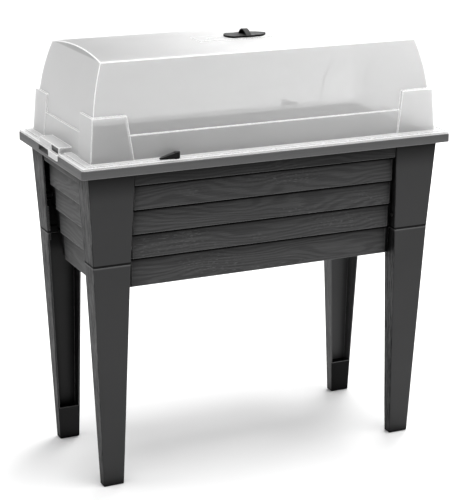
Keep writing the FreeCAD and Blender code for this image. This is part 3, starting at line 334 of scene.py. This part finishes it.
def frosted_plastic():
    """Thin milky sheet that hides more of what is behind it the flatter it is looked at, with painted
    shading and painted highlights that glow.
    """
    sh = Shader("cover_frosted")
    place = sh.place()
    x, _, z = sh.axes(place)
    cloud = sh.noise(place, 7.0, 3.0, 0.5)
    frost = sh.noise(place, 1400.0, 2.0, 0.5)

    # painted highlight along the edges that face the light and along the dome's edges: whiter colour, a
    # painted glow by emission and more opacity
    lit_side = (0.55, -0.45, 0.7)
    facing_light = sh.ramp(sh.dot(sh.rounded(0.0026), lit_side), -0.35, 0.35, 0.12, 1.0)
    lit_edge = sh.math("MAXIMUM", sh.product(sh.edge(0.0032, 0.02, 0.16), facing_light), dome_edge_highlight(sh))
    flange = sh.ramp(z, FLANGE_TOP, FLANGE_TOP + 0.002, 1.0, 0.0)
    # painted shade on the left of the roof, darker to the left
    left_roof_shade = sh.product(sh.ramp(z, CREASE - 0.001, CREASE + 0.002), sh.ramp(x, -0.36, 0.02, 1.0, 0.0))
    # painted light: the sheet's colour grows lighter from left to right
    tone = sh.mix_colour(sh.ramp(x, -0.3, 0.34, smooth=False), grey(0.78), grey(0.9))
    wall = sh.mix_colour(left_roof_shade, tone, grey(0.56))
    sheet = sh.mix_colour(flange, wall, grey(0.84))
    colour = sh.mix_colour(lit_edge, sheet, grey(1.0))

    normal = sh.bump(frost, 0.0002, 0.35, sh.rounded(0.0012))
    gloss = sh.principled(Base_Color=colour, Roughness=sh.ramp(cloud, 0.3, 0.7, 0.34, 0.44), Normal=normal,
                          Specular_IOR_Level=0.3, Emission_Color=grey(1.0),
                          Emission_Strength=sh.product(lit_edge, 0.6))
    milk = sh.node("ShaderNodeMixShader", Fac=0.42)
    sh.feed(milk.inputs[1], gloss)
    sh.feed(milk.inputs[2], sh.node("ShaderNodeBsdfTranslucent", Color=colour, Normal=normal))

    head_on = sh.math("SUBTRACT", 1.06, sh.node("ShaderNodeLayerWeight", Blend=0.5).outputs["Facing"])
    depth = sh.math("DIVIDE", sh.ramp(cloud, 0.2, 0.8, 0.56, 0.6), head_on)
    through = sh.math("EXPONENT", sh.product(depth, -1.0))
    milky = sh.total(sh.inverse(through), sh.product(flange, 0.15))
    both = sh.node("ShaderNodeMixShader", Fac=sh.math("ADD", milky, sh.product(lit_edge, 0.6), True))
    sh.feed(both.inputs[1], sh.node("ShaderNodeBsdfTransparent", Color=grey(0.99)))
    sh.feed(both.inputs[2], milk)
    return sh.finish(both)


# ------------------------------------------------------------------ materials of the small parts
def trim_plastic():
    """Black plastic of the vent, levers and plugs, with painted light on its upward faces and painted
    highlights along its edges.
    """
    sh = Shader("trim_black")
    place = sh.place()
    stipple = sh.noise(place, 1800.0, 2.0, 0.5)
    cloud = sh.noise(place, 25.0, 3.0, 0.5)
    normal = sh.rounded(0.0007)
    base = sh.mix_colour(cloud, grey(0.004), grey(0.008))
    # painted light on upward faces, left out in creases
    painted_top_light = sh.ramp(sh.axes(normal)[2], 0.4, 0.9)
    lit = sh.mix_colour(sh.product(painted_top_light, sh.crease(0.008, 0.3, 0.9)), base, grey(0.045))
    # painted highlight along the edges
    colour = sh.mix_colour(sh.product(sh.edge(0.0008), 0.5), lit, grey(0.07))
    return sh.finish(sh.principled(
        Base_Color=colour, Roughness=sh.ramp(cloud, 0.3, 0.7, 0.55, 0.65), Specular_IOR_Level=0.12,
        Normal=sh.bump(stipple, 0.0003, 0.4, normal)))


def blackened_steel():
    """Brushed dark metal of the screws."""
    sh = Shader("screws_blackened")
    place = sh.place()
    brushed = sh.noise(sh.scaled(place, 900.0, 120.0, 900.0), 1.0, 3.0, 0.6)
    spot = sh.noise(place, 300.0, 3.0, 0.6)
    return sh.finish(sh.principled(
        Base_Color=sh.mix_colour(spot, grey(0.05), grey(0.09, 0.088)), Metallic=1.0,
        Roughness=sh.ramp(brushed, 0.3, 0.7, 0.28, 0.45), Normal=sh.bump(brushed, 0.0002, 0.3)))


def seal_rubber():
    """Dusty rubber of the drain seals."""
    sh = Shader("seal_rubber")
    dust = sh.noise(sh.place(), 220.0, 4.0, 0.6)
    return sh.finish(sh.principled(
        Base_Color=sh.mix_colour(sh.ramp(dust, 0.4, 0.75), grey(0.02), (0.05, 0.048, 0.046, 1)),
        Roughness=sh.ramp(dust, 0.3, 0.7, 0.75, 0.9), Normal=sh.bump(dust, 0.0002, 0.3)))


finishes = {
    "tub_plastic": moulded_boards(),
    "leg_plastic": leg_plastic(),
    "cover_plastic": frosted_plastic(),
    "fitting_plastic": trim_plastic(),
    "screw_steel": blackened_steel(),
    "seal_rubber": seal_rubber(),
}
for entry in frame["record"]["subparts"]:
    piece = frame["nodes"][entry["node"]]
    piece.data.materials.clear()
    piece.data.materials.append(finishes[entry["material_slot"]])


# ------------------------------------------------------------------ studio
def floor_material():
    """Matt pale floor."""
    sh = Shader("studio_floor")
    tone = sh.noise(sh.place(), 0.6, 2.0, 0.5)
    return sh.finish(sh.principled(Base_Color=sh.mix_colour(tone, grey(0.88), grey(0.9)), Roughness=0.9,
                                   Specular_IOR_Level=0.1))


def studio_floor(reach, drop):
    """Square floor that reaches this far each way, a little below the feet."""
    mesh = bpy.data.meshes.new("studio_floor")
    corners = [(-reach, -reach, 0), (reach, -reach, 0), (reach, reach, 0), (-reach, reach, 0)]
    mesh.from_pydata(corners, [], [(0, 1, 2, 3)])
    floor = bpy.data.objects.new("studio_floor", mesh)
    scene.collection.objects.link(floor)
    floor.location.z = -drop
    floor.data.materials.append(floor_material())


def add_lamp(name, data):
    lamp = bpy.data.objects.new(name, data)
    scene.collection.objects.link(lamp)
    return lamp


def soft_light(name, place, aim, width, height, watts):
    data = bpy.data.lights.new(name, "AREA")
    data.shape = "RECTANGLE"
    data.size = width
    data.size_y = height
    data.energy = watts
    lamp = add_lamp(name, data)
    lamp.location = place
    lamp.rotation_mode = "QUATERNION"
    lamp.rotation_quaternion = (Vector(aim) - Vector(place)).to_track_quat("-Z", "Y")


def overcast_sky(name, strength, spread, lean_x, lean_y):
    """Sun so wide that it lights like a cloudy sky, leaning a few degrees from straight above."""
    data = bpy.data.lights.new(name, "SUN")
    data.energy = strength
    data.angle = math.radians(spread)
    add_lamp(name, data).rotation_euler = (math.radians(lean_x), math.radians(lean_y), 0)


def white_world(strength):
    scene.world = bpy.data.worlds.new("studio_world")
    scene.world.use_nodes = True
    background = scene.world.node_tree.nodes["Background"]
    background.inputs["Color"].default_value = grey(1.0)
    background.inputs["Strength"].default_value = strength


studio_floor(reach=60.0, drop=0.0005)
soft_light("light_top", place=(0.9, 0.8, 2.9), aim=(0, 0, 0.5), width=1.2, height=1.0, watts=30)
soft_light("light_back", place=(2.6, 3.0, 1.7), aim=(0.2, 0, 0.9), width=2.0, height=1.2, watts=55)
soft_light("light_left", place=(-3.0, 0.6, 1.6), aim=(0, 0, 0.8), width=1.4, height=1.2, watts=12)
overcast_sky("light_sky", strength=3.4, spread=52, lean_x=7, lean_y=5)
white_world(0.3)


# ------------------------------------------------------------------ camera
AZIMUTH, ELEVATION, ROLL = math.radians(-25.12), math.radians(16.85), math.radians(0.27)
AIM = Vector((0.0, 0.0, 0.4))
DISTANCE, SHIFT_SIDE, SHIFT_RISE = 3.29391, -0.00123, 0.00333
SENSOR_MM, LENS_MM = 36.0, 115.99632
FARTHEST = 200.0


def add_camera():
    """Camera that looks at the object from its left front, a little from above."""
    back = Vector((math.sin(AZIMUTH) * math.cos(ELEVATION), -math.cos(AZIMUTH) * math.cos(ELEVATION),
                   math.sin(ELEVATION)))
    right = Vector((math.cos(AZIMUTH), math.sin(AZIMUTH), 0.0))
    up = back.cross(right)
    side = right * math.cos(ROLL) + up * math.sin(ROLL)
    rise = up * math.cos(ROLL) - right * math.sin(ROLL)
    data = bpy.data.cameras.new("camera")
    data.sensor_width = SENSOR_MM
    data.lens = LENS_MM
    data.clip_end = FARTHEST
    camera = bpy.data.objects.new("camera", data)
    scene.collection.objects.link(camera)
    camera.location = AIM + back * DISTANCE + side * SHIFT_SIDE + rise * SHIFT_RISE
    camera.rotation_mode = "QUATERNION"
    camera.rotation_quaternion = Matrix((side, rise, back)).transposed().to_quaternion()
    scene.camera = camera


add_camera()
scene.view_settings.view_transform = "Standard"
scene.view_settings.look = "None"
scene.cycles.transparent_max_bounces = 32
